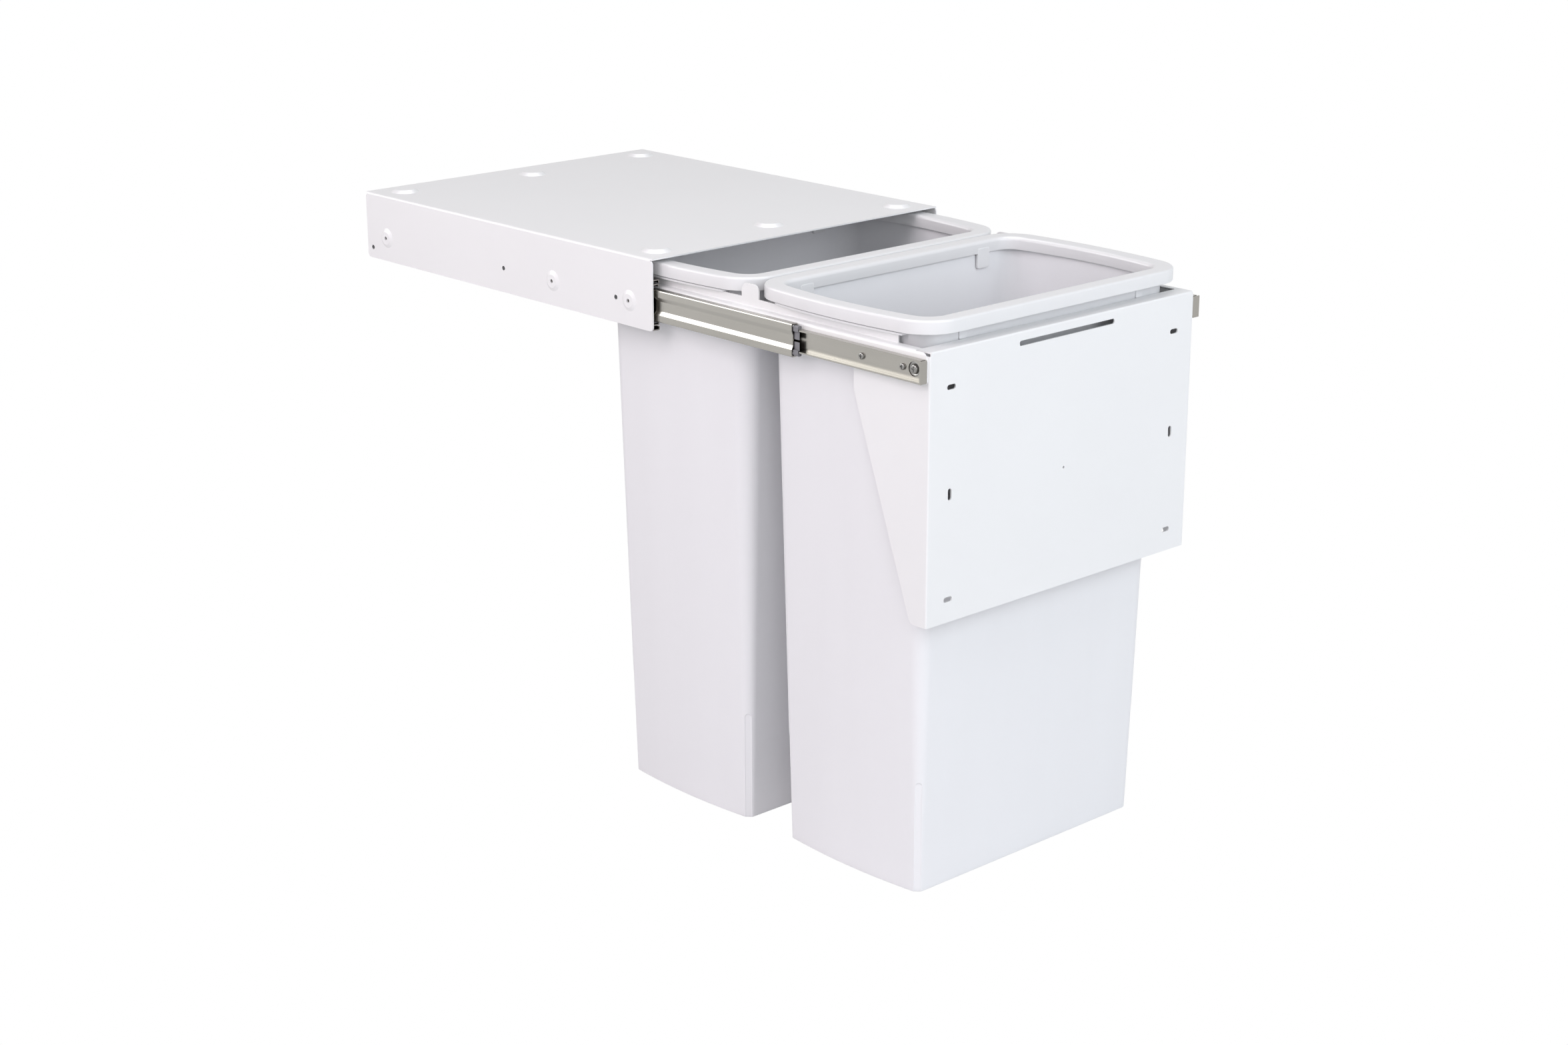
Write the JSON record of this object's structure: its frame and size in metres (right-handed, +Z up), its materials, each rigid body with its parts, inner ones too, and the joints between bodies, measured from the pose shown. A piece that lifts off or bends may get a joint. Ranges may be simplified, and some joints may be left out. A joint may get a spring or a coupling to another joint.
{
  "type": "pull-out trash cabinet",
  "caption": "Sheet-steel housing with nested ball-bearing runners that carry a front panel, side rails and tall tapered bins with liner rings out from under a worktop.",
  "frame": {"origin": "centre of the housing's top plate, on its outer face", "axes": "+Z up, -Y the front that pulls out, +X to the right of someone who faces the front"},
  "size_m": [0.4182, 0.8858, 0.6034],
  "materials": {
    "white_steel": "satin white powder coat",
    "zinc_steel": "bright zinc plate",
    "ball_steel": "polished",
    "grey_cage": "moulded, matte",
    "screw_steel": "zinc plate",
    "bin_plastic": "smooth moulded",
    "ring_plastic": "smooth moulded, satin"
  },
  "bodies": {
    "fixed_housing": {"housing": "white_steel", "runner_outer_left": "zinc_steel", "runner_outer_right": "zinc_steel", "housing_rivets_left": "screw_steel", "housing_rivets_right": "screw_steel"},
    "second_left": {"runner_second_left": "zinc_steel"},
    "second_right": {"runner_second_right": "zinc_steel"},
    "third_left": {"runner_third_left": "zinc_steel"},
    "third_right": {"runner_third_right": "zinc_steel"},
    "carriage": {"front_panel": "white_steel", "cross_rail_middle": "white_steel", "cross_rail_rear": "white_steel", "side_rail_left": "white_steel", "side_rail_right": "white_steel", "runner_inner_left": "zinc_steel", "runner_inner_right": "zinc_steel", "carriage_screws_left": "screw_steel", "carriage_screws_right": "screw_steel", "bin_front": "bin_plastic", "bin_rear": "bin_plastic", "liner_ring_front": "ring_plastic", "liner_ring_rear": "ring_plastic"},
    "ball_cage_outer_left": {"cage_outer_left": "grey_cage", "balls_outer_left": "ball_steel"},
    "ball_cage_outer_right": {"cage_outer_right": "grey_cage", "balls_outer_right": "ball_steel"},
    "ball_cage_middle_left": {"cage_middle_left": "grey_cage", "balls_middle_left": "ball_steel"},
    "ball_cage_middle_right": {"cage_middle_right": "grey_cage", "balls_middle_right": "ball_steel"},
    "ball_cage_inner_left": {"cage_inner_left": "grey_cage", "balls_inner_left": "ball_steel"},
    "ball_cage_inner_right": {"cage_inner_right": "grey_cage", "balls_inner_right": "ball_steel"}
  },
  "joints": [
    {"name": "second_left_slide", "type": "slide", "parent": "fixed_housing", "child": "second_left", "axis": [0, -1, 0], "range_m": [0, 0.14]},
    {"name": "second_right_slide", "type": "slide", "parent": "fixed_housing", "child": "second_right", "axis": [0, -1, 0], "range_m": [0, 0.14]},
    {"name": "third_left_slide", "type": "slide", "parent": "second_left", "child": "third_left", "axis": [0, -1, 0], "range_m": [-0.2065, 0]},
    {"name": "third_right_slide", "type": "slide", "parent": "second_right", "child": "third_right", "axis": [0, -1, 0], "range_m": [-0.2065, 0]},
    {"name": "carriage_slide", "type": "slide", "parent": "third_left", "child": "carriage", "axis": [0, -1, 0], "range_m": [-0.172, 0]},
    {"name": "cage_outer_left_slide", "type": "slide", "parent": "fixed_housing", "child": "ball_cage_outer_left", "axis": [0, -1, 0], "range_m": [0, 0.07]},
    {"name": "cage_middle_left_slide", "type": "slide", "parent": "second_left", "child": "ball_cage_middle_left", "axis": [0, -1, 0], "range_m": [-0.10325, 0]},
    {"name": "cage_inner_left_slide", "type": "slide", "parent": "third_left", "child": "ball_cage_inner_left", "axis": [0, -1, 0], "range_m": [-0.086, 0]},
    {"name": "cage_outer_right_slide", "type": "slide", "parent": "fixed_housing", "child": "ball_cage_outer_right", "axis": [0, -1, 0], "range_m": [0, 0.07]},
    {"name": "cage_middle_right_slide", "type": "slide", "parent": "second_right", "child": "ball_cage_middle_right", "axis": [0, -1, 0], "range_m": [-0.10325, 0]},
    {"name": "cage_inner_right_slide", "type": "slide", "parent": "third_right", "child": "ball_cage_inner_right", "axis": [0, -1, 0], "range_m": [-0.086, 0]}
  ],
  "couplings": [
    {"joint": "second_right_slide", "follows": "second_left_slide", "ratio": 1},
    {"joint": "third_right_slide", "follows": "third_left_slide", "ratio": 1},
    {"joint": "cage_outer_left_slide", "follows": "second_left_slide", "ratio": 0.5},
    {"joint": "cage_middle_left_slide", "follows": "third_left_slide", "ratio": 0.5},
    {"joint": "cage_inner_left_slide", "follows": "carriage_slide", "ratio": 0.5},
    {"joint": "cage_outer_right_slide", "follows": "second_left_slide", "ratio": 0.5},
    {"joint": "cage_middle_right_slide", "follows": "third_left_slide", "ratio": 0.5},
    {"joint": "cage_inner_right_slide", "follows": "carriage_slide", "ratio": 0.5}
  ]
}
